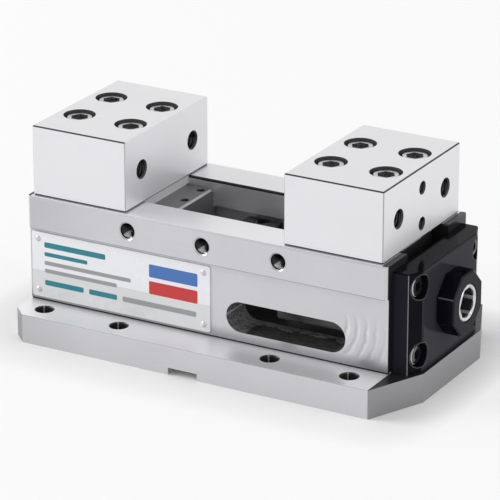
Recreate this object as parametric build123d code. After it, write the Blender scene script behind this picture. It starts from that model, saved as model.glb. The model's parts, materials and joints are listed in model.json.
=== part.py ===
from build123d import *
from dataclasses import dataclass
import os

# Self centering vise with a base flange, two bolted jaws, and one spindle with
# left-hand and right-hand thread that drives both jaws towards the centre line.
# Origin: on the vertical centre line of the keyway, at the underside of the base.
# X runs along the spindle towards the drive hub, Y across the vise, Z up.
# All sizes are millimetres.

# Base flange
base_thickness = 18.5
base_ledge = 26.5
base_overhang = 17.6
base_cut_width = 77.2
base_cut_length = 17.0
base_idle_cut = 9.5
keyway_width = 20.0
keyway_depth = 4.6
flange_hole_diameter = 11.0
flange_hole_side_inset = 13.5
flange_hole_end_inset = 19.0
flange_hole_pitch = 53.5
flange_hole_chamfer = 0.6

# Body above the flange, and its room beyond the sliders at both ends
side_wall = 23.0
rail_ledge = 3.0
rail_height = 21.1
rail_edge_chamfer = 1.2
rail_end_chamfer = 2.0
foot_groove_depth = 0.8
foot_groove_height = 0.9
idle_end_room = 9.4
drive_end_room = 11.0

# Channel for the sliders, with its undercut groove
channel_floor_rise = 3.5
channel_edge_chamfer = 0.8
groove_undercut = 5.0
groove_height = 16.0
groove_rise = 2.3

# Side windows and side tapped holes
window_start = 15.4
window_end_wall = 28.6
window_height = 19.5
window_centre_rise = 16.25
side_hole_diameter = 10.0
side_hole_back_wall = 10.0
side_hole_pitch = 52.0
side_hole_drop = 10.5
side_hole_chamfer = 0.8

# Sliders
running_gap = 0.05
slider_lead = 17.5
slider_foot_room = 6.0
slider_foot_wall = 3.7
slider_roof = 10.0
slider_corner_radius = 4.0
slider_end_radius = 3.0
slider_foot_chamfer = 1.5
slider_inner_chamfer = 1.2
slider_top_hole_diameter = 5.4
slider_top_hole_pitch = 20.0
slider_top_hole_inset = 5.5
slider_top_hole_depth = 10.0
slider_top_hole_chamfer = 0.4

# Jaws
jaw_inner_x = 54.5
jaw_length = 66.0
jaw_width = 100.0
jaw_height = 44.9
jaw_lift = 5.4
jaw_overhang = 6.5
jaw_edge_chamfer = 0.7
jaw_screw_half_pitch_x = 18.3
jaw_screw_half_pitch_y = 18.75
jaw_screw_recess = 1.5
jaw_screw_counterbore = 20.0
jaw_screw_tip_gap = 1.45
jaw_side_hole_diameter = 10.5
jaw_side_hole_half_pitch = 30.6
jaw_side_hole_drop = 22.9
jaw_side_hole_depth = 20.0
jaw_side_hole_chamfer = 0.9
jaw_stop_hole_diameter = 7.0
jaw_stop_hole_half_pitch = 11.3
jaw_stop_hole_rise = 1.6
jaw_stop_hole_depth = 15.0
jaw_stop_hole_chamfer = 0.7

# Spindle and its nuts
thread_diameter = 28.0
thread_overrun = 4.0
thread_end_chamfer = 2.0
collar_step = 3.0
collar_width = 8.0
journal_step = 2.0
spindle_protrusion = 11.6
spindle_end_chamfer = 1.2
drive_hex_wall = 3.5
drive_hex_depth = 18.0
slider_bore_gap = 1.0
nut_wall = 6.0
nut_length = 44.0
nut_chamfer = 1.0
nut_screw_diameter = 8.0
nut_screw_depth = 2.0

# Centre block that holds the spindle collar
centre_block_length = 24.0
centre_block_gap = 0.05
centre_cap_wall = 4.3
centre_cap_chamfer = 0.6
collar_pocket_gap = 1.0
washer_gap = 0.2
washer_thickness = 2.0
centre_cap_screw_inset = 5.8
centre_cap_screw_pocket_wall = 3.2
centre_cap_screw_length = 20.0
centre_cap_screw_recess = 0.4
centre_block_screw_half_pitch = 17.0
centre_block_screw_tip_gap = 0.65
centre_block_screw_cap_gap = 1.0
centre_block_screw_recess = 1.0
centre_block_screw_gap = 0.5

# End plate on the drive end, with its bushing and screws
plate_side_inset = 3.5
plate_top_rise = 0.6
plate_edge_thickness = 10.5
plate_face_thickness = 15.4
plate_face_width = 70.0
plate_chamfer = 0.8
plate_screw_inset = 10.0
plate_screw_low_margin = 10.7
plate_screw_high_margin = 10.1
plate_screw_seat = 4.0
plate_screw_length = 25.0
plate_screw_counterbore = 15.0
plate_hole_overrun = 2.0
bushing_wall = 3.0
bushing_gap = 0.05
bushing_recess = 0.4

# Drive hub
hub_wall = 6.9
hub_start_gap = 0.6
hub_chamfer = 0.8
hub_screw_inset = 4.6
hub_screw_diameter = 6.0
hub_screw_recess = 1.3

# Cover on the idle end of the channel
cover_thickness = 2.0
cover_lap = 15.0
cover_floor_rise = 2.0
cover_top_drop = 1.2
cover_corner_radius = 4.0
cover_gap = 0.1
cover_screw_inset = 6.0
cover_screw_diameter = 5.0
cover_screw_head = 8.0
cover_screw_socket = 3.0
cover_screw_socket_depth = 2.0
cover_screw_length = 14.0

# Name plate and its drive rivets
name_plate_end_inset = 1.4
name_plate_length = 126.6
name_plate_low_margin = 2.5
name_plate_high_margin = 2.4
name_plate_thickness = 0.8
name_plate_radius = 1.5
rivet_inset = 4.5
rivet_head_diameter = 4.0
rivet_head_height = 0.9
rivet_shank_diameter = 2.4
rivet_shank_length = 5.0


def rise_beside(diameter, offset):
    """Height of a lying cylinder above its axis, at a sideways distance from it."""
    radius = diameter / 2
    return max(radius**2 - offset**2, 0) ** 0.5


# Diameters on the spindle's axis, worked out from its thread
nut_diameter = thread_diameter + 2 * nut_wall
collar_diameter = thread_diameter + 2 * collar_step
journal_diameter = thread_diameter - 2 * journal_step
drive_hex_across_flats = journal_diameter - 2 * drive_hex_wall
hub_across_flats = journal_diameter + 2 * hub_wall
bushing_bore = journal_diameter + 2 * bushing_gap
bushing_diameter = bushing_bore + 2 * bushing_wall

# Widths across the vise, worked out from the collar pocket outwards
collar_pocket_diameter = collar_diameter + 2 * collar_pocket_gap
washer_diameter = collar_pocket_diameter - 2 * washer_gap
centre_cap_screw_half_pitch = collar_pocket_diameter / 2 + centre_cap_screw_pocket_wall
channel_width = 2 * (centre_cap_screw_half_pitch + centre_cap_screw_inset)
groove_width = channel_width + 2 * groove_undercut
centre_block_width = channel_width - 2 * centre_block_gap
body_width = channel_width + 2 * side_wall
rail_width = body_width + 2 * rail_ledge
base_width = body_width + 2 * base_ledge
plate_width = body_width - 2 * plate_side_inset
plate_screw_y = channel_width / 2 + plate_screw_inset
cover_width = channel_width + 2 * cover_lap
cover_screw_y = cover_width / 2 - cover_screw_inset
flange_hole_y = base_width / 2 - flange_hole_side_inset
side_hole_depth = (rail_width - channel_width) / 2 - side_hole_back_wall
hub_screw_length = hub_wall - hub_screw_recess

# Heights, worked out from the base upwards
channel_floor = base_thickness + channel_floor_rise
window_centre_height = base_thickness + window_centre_rise
slider_bottom = channel_floor + slider_foot_room
axis_height = slider_bottom + slider_foot_wall + nut_diameter / 2
nut_top = axis_height + nut_diameter / 2
slider_top = nut_top + slider_roof
groove_bottom = axis_height + groove_rise
groove_top = groove_bottom + groove_height
rail_top = slider_top + jaw_lift
rail_bottom = rail_top - rail_height
side_hole_height = rail_top - side_hole_drop
centre_cap_top = axis_height + journal_diameter / 2 + centre_cap_wall
plate_top = slider_top + plate_top_rise
plate_screw_heights = (base_thickness + plate_screw_low_margin, plate_top - plate_screw_high_margin)
cover_bottom = base_thickness + cover_floor_rise
cover_top = slider_top - cover_top_drop
cover_screw_heights = (cover_bottom + cover_screw_inset, cover_top - cover_screw_inset)
name_plate_bottom = base_thickness + name_plate_low_margin
name_plate_height = rail_bottom - name_plate_high_margin - name_plate_bottom
jaw_bottom = rail_top + running_gap
jaw_top = jaw_bottom + jaw_height
jaw_side_hole_height = jaw_top - jaw_side_hole_drop
jaw_stop_hole_height = jaw_side_hole_height - jaw_stop_hole_rise
nut_screw_tip = nut_top - nut_screw_depth
nut_screw_length = slider_top - nut_screw_tip

# Lengths along the vise, worked out from the jaws outwards
jaw_outer_x = jaw_inner_x + jaw_length
jaw_centre_x = (jaw_inner_x + jaw_outer_x) / 2
slider_inner_x = jaw_inner_x - slider_lead
slider_outer_x = jaw_outer_x - jaw_overhang
thread_end_x = slider_outer_x + thread_overrun
nut_screw_x = slider_outer_x - nut_length / 2
half_length = slider_outer_x + drive_end_room
left_end = -slider_outer_x - idle_end_room
window_length = half_length - window_end_wall - window_start
flange_hole_outer_x = half_length - flange_hole_end_inset
flange_hole_inner_x = flange_hole_outer_x - flange_hole_pitch
plate_edge_x = half_length + plate_edge_thickness
plate_face_x = half_length + plate_face_thickness
plate_screw_seat_x = half_length + plate_screw_seat
spindle_end_x = plate_face_x + spindle_protrusion
hub_start_x = plate_face_x + hub_start_gap
washer_start = collar_width / 2 + running_gap
collar_pocket_half = washer_start + washer_thickness
name_plate_start = left_end + name_plate_end_inset


@dataclass(frozen=True)
class CapScrew:
    """Proportions of a socket head cap screw."""

    diameter: float
    head_diameter: float
    head_height: float
    socket: float


M6 = CapScrew(diameter=6.0, head_diameter=10.0, head_height=6.0, socket=5.0)
M8 = CapScrew(diameter=8.0, head_diameter=13.0, head_height=8.0, socket=6.0)
M12 = CapScrew(diameter=12.0, head_diameter=18.0, head_height=12.0, socket=10.0)
clearance_hole_gap = 0.5
hex_sides = 6
hub_sides = 8

# How far cutters reach past the faces that they open
overrun = 1.0
head_chamfer_share = 0.08
socket_depth_share = 0.5
drill_point_share = 0.6


def block(x0, x1, y0, y1, z0, z1):
    """Box between two corners."""
    centre = ((x0 + x1) / 2, (y0 + y1) / 2, (z0 + z1) / 2)
    return Pos(*centre) * Box(x1 - x0, y1 - y0, z1 - z0)


def wide_block(x0, x1, width, z0, z1):
    """Box centred on the mid-plane of the vise."""
    return block(x0, x1, -width / 2, width / 2, z0, z1)


def x_rod(diameter, x0, x1, y=0.0, z=axis_height):
    """Cylinder along X."""
    return Pos((x0 + x1) / 2, y, z) * Rot(0, 90, 0) * Cylinder(diameter / 2, x1 - x0)


def y_rod(diameter, y0, y1, x, z):
    """Cylinder along Y."""
    return Pos(x, (y0 + y1) / 2, z) * Rot(90, 0, 0) * Cylinder(diameter / 2, y1 - y0)


def z_rod(diameter, z0, z1, x=0.0, y=0.0):
    """Cylinder along Z."""
    return Pos(x, y, (z0 + z1) / 2) * Cylinder(diameter / 2, z1 - z0)


def countersink(diameter, size):
    """Cone that breaks the mouth of a hole, opening along +Z at z = 0."""
    wide = diameter / 2 + size
    return Pos(0, 0, -size / 2) * Cone(diameter / 2, wide, size)


def tapped_hole(diameter, depth, size):
    """Blind hole along -Z from z = 0, with a drill point and a broken mouth."""
    radius = diameter / 2
    point = radius * drill_point_share
    outline = Polyline(
        (0, 0),
        (radius + size, 0),
        (radius, -size),
        (radius, -depth),
        (0, -depth - point),
        close=True,
    )
    return revolve(Plane.XZ * make_face(outline), Axis.Z)


def polygon_across_flats(size, sides=hex_sides):
    """Regular polygon with the given distance between opposite flats."""
    return RegularPolygon(size / 2, sides, major_radius=False)


def cap_screw(kind, length):
    """Socket head cap screw with its head seat at z = 0 and its head up."""
    chamfer_size = kind.head_diameter * head_chamfer_share
    head = Pos(0, 0, kind.head_height / 2) * Cylinder(kind.head_diameter / 2, kind.head_height)
    head = chamfer(head.edges().group_by(Axis.Z)[-1], chamfer_size)
    socket_depth = kind.head_height * socket_depth_share
    socket = extrude(polygon_across_flats(kind.socket), socket_depth)
    head -= Pos(0, 0, kind.head_height - socket_depth) * socket
    shank = Pos(0, 0, -length / 2) * Cylinder(kind.diameter / 2, length)
    shank = chamfer(shank.edges().group_by(Axis.Z)[0], kind.diameter * head_chamfer_share)
    return head + shank


def grub_screw(diameter, length):
    """Set screw with its socket end at z = 0 and its tip at z = -length."""
    body = Pos(0, 0, -length / 2) * Cylinder(diameter / 2, length)
    body = chamfer(body.edges().group_by(Axis.Z)[0], diameter * head_chamfer_share)
    socket = extrude(polygon_across_flats(diameter / 2), length / 2)
    return body - Pos(0, 0, -length / 2) * socket


# Ways that a screw or hole can point, with its head or mouth outwards
def facing_up(x, y, z):
    return Pos(x, y, z)


def facing_down(x, y, z):
    return Pos(x, y, z) * Rot(180, 0, 0)


def facing_plus_x(x, y, z):
    return Pos(x, y, z) * Rot(0, 90, 0)


def facing_minus_x(x, y, z):
    return Pos(x, y, z) * Rot(0, -90, 0)


def facing_plus_y(x, y, z):
    return Pos(x, y, z) * Rot(-90, 0, 0)


def facing_minus_y(x, y, z):
    return Pos(x, y, z) * Rot(90, 0, 0)


# Places that more than one piece shares
flange_hole_places = [
    (x, y)
    for x in (-flange_hole_outer_x, -flange_hole_inner_x, flange_hole_inner_x, flange_hole_outer_x)
    for y in (-flange_hole_y, flange_hole_y)
]
plate_screw_places = [(y, z) for y in (-plate_screw_y, plate_screw_y) for z in plate_screw_heights]
cover_screw_places = [(y, z) for y in (-cover_screw_y, cover_screw_y) for z in cover_screw_heights]
jaw_screw_places = [
    (jaw_centre_x + dx, y)
    for dx in (-jaw_screw_half_pitch_x, jaw_screw_half_pitch_x)
    for y in (-jaw_screw_half_pitch_y, jaw_screw_half_pitch_y)
]
jaw_screw_seat = jaw_top - jaw_screw_recess - M12.head_height
jaw_screw_nut_rise = rise_beside(nut_diameter, jaw_screw_half_pitch_y - M12.diameter / 2)
jaw_screw_tip = axis_height + jaw_screw_nut_rise + jaw_screw_tip_gap
centre_cap_screw_seat = centre_cap_top - centre_cap_screw_recess - M6.head_height
centre_cap_screw_tip = centre_cap_screw_seat - centre_cap_screw_length
centre_block_screw_seat = keyway_depth + centre_block_screw_recess + M8.head_height
centre_block_screw_drop = rise_beside(
    collar_pocket_diameter, centre_block_screw_half_pitch - M8.diameter / 2
)
centre_block_screw_tip = min(
    axis_height - centre_block_screw_drop - centre_block_screw_tip_gap,
    centre_cap_screw_tip - centre_block_screw_cap_gap,
)


# Vise body, one block from the flange to the rails
def base_flange():
    """Flange with small cut corners at the idle end and large ones at the drive end."""
    half_width = base_width / 2
    half_cut = base_cut_width / 2
    right = half_length + base_overhang
    outline = Polyline(
        (left_end + base_idle_cut, -half_width),
        (right - base_cut_length, -half_width),
        (right, -half_cut),
        (right, half_cut),
        (right - base_cut_length, half_width),
        (left_end + base_idle_cut, half_width),
        (left_end, half_width - base_idle_cut),
        (left_end, base_idle_cut - half_width),
        close=True,
    )
    flange = extrude(make_face(outline), base_thickness)
    flange -= block(
        -keyway_width / 2, keyway_width / 2, -base_width, base_width, -keyway_depth, keyway_depth
    )
    mouth = countersink(flange_hole_diameter, flange_hole_chamfer)
    for x, y in flange_hole_places:
        flange -= z_rod(flange_hole_diameter, -overrun, base_thickness + overrun, x, y)
        flange -= Pos(x, y, base_thickness) * mouth
    return flange


def slider_channel():
    """Channel with its undercut groove, cut through the whole length."""
    reach = half_length + overrun
    top = rail_top + overrun
    channel = wide_block(-reach, reach, channel_width, channel_floor, top)
    channel += wide_block(-reach, reach, groove_width, groove_bottom, groove_top)
    half = channel_width / 2
    bevel = Polyline(
        (half, rail_top - channel_edge_chamfer),
        (half + channel_edge_chamfer, rail_top),
        (-half - channel_edge_chamfer, rail_top),
        (-half, rail_top - channel_edge_chamfer),
        close=True,
    )
    edge_break = extrude(Plane.YZ * make_face(bevel), reach, both=True)
    return channel + edge_break


def side_window():
    """Oblong chip window milled through both side walls."""
    centre = window_start + window_length / 2
    slot = SlotOverall(window_length, window_height)
    plane = Plane.XZ.offset(-rail_width)
    cutter = extrude(plane * Pos(centre, window_centre_height) * slot, 2 * rail_width)
    return cutter


def body_walls():
    """Lower walls with a groove along their foot, and the wider rails with their edges broken."""
    groove_top_height = base_thickness + foot_groove_height
    foot_width = body_width - 2 * foot_groove_depth
    foot = wide_block(left_end, half_length, foot_width, base_thickness, groove_top_height)
    lower = wide_block(left_end, half_length, body_width, groove_top_height, rail_bottom)
    rails = wide_block(left_end, half_length, rail_width, rail_bottom, rail_top)
    end_edges = rails.edges().filter_by(Axis.Z)
    rails = chamfer(end_edges, rail_end_chamfer)
    top_edges = rails.edges().filter_by(Axis.X).group_by(Axis.Z)[-1]
    rails = chamfer(top_edges, rail_edge_chamfer)
    return foot + lower + rails


def vise_body():
    """Whole machined body."""
    body = base_flange() + body_walls()
    body -= slider_channel()
    body -= side_window()
    side_hole = tapped_hole(side_hole_diameter, side_hole_depth, side_hole_chamfer)
    for x in (-side_hole_pitch, 0.0, side_hole_pitch):
        body -= facing_minus_y(x, -rail_width / 2, side_hole_height) * side_hole
        body -= facing_plus_y(x, rail_width / 2, side_hole_height) * side_hole
    plate_hole_depth = plate_screw_length - plate_screw_seat + plate_hole_overrun
    for y, z in plate_screw_places:
        body -= x_rod(M8.diameter, half_length - plate_hole_depth, half_length + overrun, y, z)
    body -= cover_pocket()
    for y, z in cover_screw_places:
        hole_end = left_end + cover_screw_length + overrun
        body -= x_rod(cover_screw_diameter, left_end - overrun, hole_end, y, z)
    for y in (-centre_block_screw_half_pitch, centre_block_screw_half_pitch):
        body -= z_rod(
            M8.head_diameter + 2 * centre_block_screw_gap, -overrun, centre_block_screw_seat, 0.0, y
        )
        body -= z_rod(M8.diameter + 2 * centre_block_screw_gap, 0, channel_floor + overrun, 0.0, y)
    return body


# Idle end cover
def cover_shape(gap, thickness):
    """Rounded plate that lies in the pocket of the idle end, less a gap all round."""
    centre_height = (cover_bottom + cover_top) / 2
    outline = RectangleRounded(
        cover_width - 2 * gap, cover_top - cover_bottom - 2 * gap, cover_corner_radius - gap
    )
    return Pos(left_end, 0, centre_height) * extrude(Plane.YZ * outline, thickness)


def cover_pocket():
    """Pocket for the cover, open at the end face."""
    return cover_shape(0.0, cover_thickness)


def idle_end_cover():
    """Cover plate with countersunk holes."""
    cover = cover_shape(cover_gap, cover_thickness)
    for y, z in cover_screw_places:
        cover -= facing_minus_x(left_end, y, z) * countersunk_head()
        cover -= x_rod(cover_screw_diameter, left_end, left_end + cover_thickness, y, z)
    return cover


def countersunk_head():
    """Head of a countersunk screw, its flat top at z = 0."""
    height = (cover_screw_head - cover_screw_diameter) / 2
    return Pos(0, 0, -height / 2) * Cone(cover_screw_diameter / 2, cover_screw_head / 2, height)


def idle_cover_screws():
    """Countersunk screws of the cover."""
    screw = countersunk_head() + z_rod(cover_screw_diameter, -cover_screw_length, 0)
    socket = extrude(polygon_across_flats(cover_screw_socket), -cover_screw_socket_depth)
    screw -= socket
    return Compound([facing_minus_x(left_end, y, z) * screw for y, z in cover_screw_places])


# Centre block
def collar_space():
    """Pocket for the collar and washers, and the bores beside it."""
    reach = centre_block_length / 2 + overrun
    space = x_rod(collar_pocket_diameter, -collar_pocket_half, collar_pocket_half)
    return space + x_rod(bushing_bore, -reach, reach)


def centre_block():
    """Lower half of the spindle bearing, standing on the channel floor."""
    half = centre_block_length / 2
    lower = wide_block(-half, half, centre_block_width, channel_floor, axis_height)
    lower -= collar_space()
    for y in (-centre_block_screw_half_pitch, centre_block_screw_half_pitch):
        lower -= z_rod(M8.diameter, channel_floor - overrun, centre_block_screw_tip, 0.0, y)
    for y in (-centre_cap_screw_half_pitch, centre_cap_screw_half_pitch):
        lower -= z_rod(M6.diameter, centre_cap_screw_tip, axis_height + overrun, 0.0, y)
    return lower


def centre_block_cap():
    """Upper half of the spindle bearing."""
    half = centre_block_length / 2
    cap = wide_block(-half, half, centre_block_width, axis_height, centre_cap_top)
    top_edges = cap.edges().group_by(Axis.Z)[-1]
    cap = chamfer(top_edges, centre_cap_chamfer)
    cap -= collar_space()
    for y in (-centre_cap_screw_half_pitch, centre_cap_screw_half_pitch):
        cap -= z_rod(M6.head_diameter, centre_cap_screw_seat, centre_cap_top + overrun, 0.0, y)
        cap -= z_rod(M6.diameter, axis_height - overrun, centre_cap_screw_seat, 0.0, y)
    return cap


def centre_cap_screws():
    """Screws that clamp the cap on the block."""
    screw = cap_screw(M6, centre_cap_screw_length)
    places = (-centre_cap_screw_half_pitch, centre_cap_screw_half_pitch)
    return Compound([facing_up(0, y, centre_cap_screw_seat) * screw for y in places])


def centre_block_screws():
    """Screws from below that hold the block in the channel."""
    screw = cap_screw(M8, centre_block_screw_tip - centre_block_screw_seat)
    places = (-centre_block_screw_half_pitch, centre_block_screw_half_pitch)
    return Compound([facing_down(0, y, centre_block_screw_seat) * screw for y in places])


def thrust_washer(side):
    """Ring between the collar and the block, on one side of the collar."""
    start = min(side * washer_start, side * collar_pocket_half)
    end = max(side * washer_start, side * collar_pocket_half)
    ring = x_rod(washer_diameter, start, end)
    return ring - x_rod(bushing_bore, start - overrun, end + overrun)


# Spindle
def spindle():
    """Spindle with a central collar, two threaded lengths and a hex socket end."""
    thread_start = centre_block_length / 2 + running_gap
    body = x_rod(journal_diameter, -thread_start, spindle_end_x)
    body = chamfer(body.edges().group_by(Axis.X)[-1], spindle_end_chamfer)
    body += x_rod(collar_diameter, -collar_width / 2, collar_width / 2)
    for side in (-1, 1):
        start = side * thread_start
        end = side * thread_end_x
        thread = x_rod(thread_diameter, min(start, end), max(start, end))
        thread = chamfer(thread.edges().filter_by(GeomType.CIRCLE), thread_end_chamfer)
        body += thread
    socket = extrude(Plane.YZ * polygon_across_flats(drive_hex_across_flats), drive_hex_depth)
    body -= Pos(spindle_end_x - drive_hex_depth, 0, axis_height) * socket
    rim = countersink(drive_hex_across_flats, spindle_end_chamfer)
    return body - facing_plus_x(spindle_end_x, 0, axis_height) * rim


# Drive hub
def hub_screw_places():
    """Set screws on the top and the bottom flat."""
    x = spindle_end_x - hub_screw_inset
    reach = journal_diameter / 2 + hub_screw_length
    return [
        facing_up(x, 0, axis_height + reach),
        facing_down(x, 0, axis_height - reach),
    ]


def drive_hub():
    """Eight-sided hub on the end of the spindle."""
    length = spindle_end_x - hub_start_x
    corner_turn = 180 / hub_sides
    outline = Rot(0, 0, corner_turn) * polygon_across_flats(hub_across_flats, hub_sides)
    hub = Pos(hub_start_x, 0, axis_height) * extrude(Plane.YZ * outline, length)
    hub = chamfer(hub.edges().group_by(Axis.X)[-1], hub_chamfer)
    hub -= x_rod(journal_diameter, hub_start_x - overrun, spindle_end_x + overrun)
    x = spindle_end_x - hub_screw_inset
    hub -= z_rod(
        hub_screw_diameter, axis_height - hub_across_flats, axis_height + hub_across_flats, x
    )
    return hub


def hub_set_screws():
    """Set screws that lock the hub."""
    screw = grub_screw(hub_screw_diameter, hub_screw_length)
    return Compound([place * screw for place in hub_screw_places()])


# End plate
def end_plate():
    """Plate over the drive end, with slanted sides and counterbored screw holes."""
    half = plate_width / 2
    flat = plate_face_width / 2
    outline = Polyline(
        (half_length, -half),
        (plate_edge_x, -half),
        (plate_face_x, -flat),
        (plate_face_x, flat),
        (plate_edge_x, half),
        (half_length, half),
        close=True,
    )
    plate = extrude(Plane.XY.offset(base_thickness) * make_face(outline), plate_top - base_thickness)
    top_edges = plate.edges().group_by(Axis.Z)[-1]
    outer_top_edges = [edge for edge in top_edges if edge.center().X > half_length + plate_chamfer]
    plate = chamfer(outer_top_edges, plate_chamfer)
    for y, z in plate_screw_places:
        plate -= x_rod(plate_screw_counterbore, plate_screw_seat_x, plate_face_x + overrun, y, z)
        plate -= x_rod(M8.diameter, half_length - overrun, plate_screw_seat_x + overrun, y, z)
    return plate - x_rod(bushing_diameter, half_length - overrun, plate_face_x + overrun)


def end_plate_screws():
    """Socket head screws of the end plate."""
    screw = cap_screw(M8, plate_screw_length)
    return Compound(
        [facing_plus_x(plate_screw_seat_x, y, z) * screw for y, z in plate_screw_places]
    )


def drive_bushing():
    """Plain bushing in the end plate."""
    sleeve = x_rod(bushing_diameter, half_length, plate_face_x - bushing_recess)
    return sleeve - x_rod(bushing_bore, half_length - overrun, plate_face_x + overrun)


# Sliders, nuts and jaws, all modelled on the drive side and mirrored for the idle side
def slider():
    """Slider with the neck in the channel and the flange in the undercut groove."""
    neck_width = channel_width - 2 * running_gap
    flange_width = groove_width - 2 * running_gap
    neck = wide_block(slider_inner_x, slider_outer_x, neck_width, slider_bottom, slider_top)
    corners = neck.edges().filter_by(Axis.X).group_by(Axis.Z)[-1]
    neck = fillet(corners, slider_corner_radius)
    foot = neck.edges().filter_by(Axis.X).group_by(Axis.Z)[0]
    neck = chamfer(foot, slider_foot_chamfer)
    inner_outline = neck.edges().group_by(Axis.X)[0]
    neck = chamfer(inner_outline, slider_inner_chamfer)
    flange = wide_block(
        slider_inner_x,
        slider_outer_x,
        flange_width,
        groove_bottom + running_gap,
        groove_top - running_gap,
    )
    flange = fillet(flange.edges().filter_by(Axis.Z), slider_end_radius)
    body = neck + flange
    body -= x_rod(thread_diameter + 2 * slider_bore_gap, slider_inner_x - overrun, slider_outer_x)
    body -= x_rod(nut_diameter, slider_outer_x - nut_length, slider_outer_x + overrun)
    for x, y in jaw_screw_places:
        body -= z_rod(M12.diameter, jaw_screw_tip, slider_top + overrun, x, y)
    body -= z_rod(nut_screw_diameter, nut_top - overrun, slider_top + overrun, nut_screw_x)
    small_hole = tapped_hole(
        slider_top_hole_diameter, slider_top_hole_depth, slider_top_hole_chamfer
    )
    for y in (-slider_top_hole_pitch, 0.0, slider_top_hole_pitch):
        body -= Pos(slider_inner_x + slider_top_hole_inset, y, slider_top) * small_hole
    return body


def slider_nut():
    """Nut in the outer end of the slider, with a dimple for its lock screw."""
    nut = x_rod(nut_diameter, slider_outer_x - nut_length, slider_outer_x)
    nut = chamfer(nut.edges().group_by(Axis.X)[-1], nut_chamfer)
    nut -= x_rod(thread_diameter + 2 * running_gap, 0, slider_outer_x + overrun)
    return nut - z_rod(nut_screw_diameter, nut_screw_tip, nut_top + overrun, nut_screw_x)


def nut_lock_screw():
    """Set screw through the slider top into the nut."""
    return Pos(nut_screw_x, 0, slider_top) * grub_screw(nut_screw_diameter, nut_screw_length)


def jaw():
    """Jaw block with its tongue in the channel and its screw and fixture holes."""
    body = wide_block(jaw_inner_x, jaw_outer_x, jaw_width, jaw_bottom, jaw_top)
    body = chamfer(body.edges(), jaw_edge_chamfer)
    tongue_width = channel_width - 2 * running_gap
    tongue = wide_block(
        jaw_inner_x + jaw_edge_chamfer,
        slider_outer_x,
        tongue_width,
        slider_top,
        jaw_bottom + jaw_edge_chamfer,
    )
    body += tongue
    for x, y in jaw_screw_places:
        body -= z_rod(jaw_screw_counterbore, jaw_screw_seat, jaw_top + overrun, x, y)
        body -= z_rod(M12.diameter + 2 * clearance_hole_gap, slider_top - overrun, jaw_top, x, y)
    fixture_hole = tapped_hole(jaw_side_hole_diameter, jaw_side_hole_depth, jaw_side_hole_chamfer)
    for y in (-jaw_side_hole_half_pitch, jaw_side_hole_half_pitch):
        body -= facing_minus_x(jaw_inner_x, y, jaw_side_hole_height) * fixture_hole
        body -= facing_plus_x(jaw_outer_x, y, jaw_side_hole_height) * fixture_hole
    stop_hole = tapped_hole(jaw_stop_hole_diameter, jaw_stop_hole_depth, jaw_stop_hole_chamfer)
    for dz in (-jaw_stop_hole_half_pitch, jaw_stop_hole_half_pitch):
        body -= facing_plus_x(jaw_outer_x, 0, jaw_stop_hole_height + dz) * stop_hole
    return body


def jaw_screws():
    """Socket head screws that hold the jaw on its slider."""
    screw = cap_screw(M12, jaw_screw_seat - jaw_screw_tip)
    return Compound([facing_up(x, y, jaw_screw_seat) * screw for x, y in jaw_screw_places])


# Name plate
def name_plate():
    """Thin plate riveted on the front wall."""
    centre_x = name_plate_start + name_plate_length / 2
    centre_z = name_plate_bottom + name_plate_height / 2
    outline = RectangleRounded(name_plate_length, name_plate_height, name_plate_radius)
    plate = extrude(Plane.XZ * outline, name_plate_thickness)
    plate = Pos(centre_x, -body_width / 2, centre_z) * plate
    for x, z in rivet_places():
        front = -body_width / 2 - name_plate_thickness
        plate -= y_rod(rivet_shank_diameter, front - overrun, -body_width / 2 + overrun, x, z)
    return plate


def rivet_places():
    """Rivet positions near the corners of the plate."""
    left = name_plate_start + rivet_inset
    right = name_plate_start + name_plate_length - rivet_inset
    low = name_plate_bottom + rivet_inset
    high = name_plate_bottom + name_plate_height - rivet_inset
    return [(x, z) for x in (left, right) for z in (low, high)]


def name_plate_rivets():
    """Round-headed drive rivets."""
    front = -body_width / 2 - name_plate_thickness
    head_radius = rivet_head_diameter / 2
    ball_radius = (head_radius**2 + rivet_head_height**2) / (2 * rivet_head_height)
    rivets = []
    for x, z in rivet_places():
        ball = Pos(x, front - rivet_head_height + ball_radius, z) * Sphere(ball_radius)
        head = ball & y_rod(rivet_head_diameter, front - rivet_head_height - overrun, front, x, z)
        shank = y_rod(rivet_shank_diameter, front, front + rivet_shank_length, x, z)
        rivets.append(head + shank)
    return Compound(rivets)


def with_rivet_holes(body):
    """Body with the blind holes that the rivets are driven into."""
    front = -body_width / 2 - name_plate_thickness
    for x, z in rivet_places():
        body -= y_rod(rivet_shank_diameter, front, front + rivet_shank_length, x, z)
    return body


def mirrored(shape):
    """Copy of a drive-side piece for the idle side."""
    return mirror(shape, Plane.YZ)


def all_nodes():
    """Every piece under its own name."""
    right = {
        "slider": slider(),
        "slider_nut": slider_nut(),
        "nut_lock_screw": nut_lock_screw(),
        "jaw": jaw(),
        "jaw_screws": jaw_screws(),
    }
    nodes = {
        "vise_body": with_rivet_holes(vise_body()),
        "idle_end_cover": idle_end_cover(),
        "idle_cover_screws": idle_cover_screws(),
        "centre_block": centre_block(),
        "centre_block_cap": centre_block_cap(),
        "centre_cap_screws": centre_cap_screws(),
        "centre_block_screws": centre_block_screws(),
        "thrust_washer_idle_side": thrust_washer(-1),
        "thrust_washer_drive_side": thrust_washer(1),
        "spindle": spindle(),
        "drive_hub": drive_hub(),
        "hub_set_screws": hub_set_screws(),
        "end_plate": end_plate(),
        "end_plate_screws": end_plate_screws(),
        "drive_bushing": drive_bushing(),
        "name_plate": name_plate(),
        "name_plate_rivets": name_plate_rivets(),
    }
    for name, shape in right.items():
        nodes["right_" + name] = shape
        nodes["left_" + name] = mirrored(shape)
    return nodes


os.makedirs("parts", exist_ok=True)
for node_name, node_shape in all_nodes().items():
    export_step(node_shape, f"parts/{node_name}.step")
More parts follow.
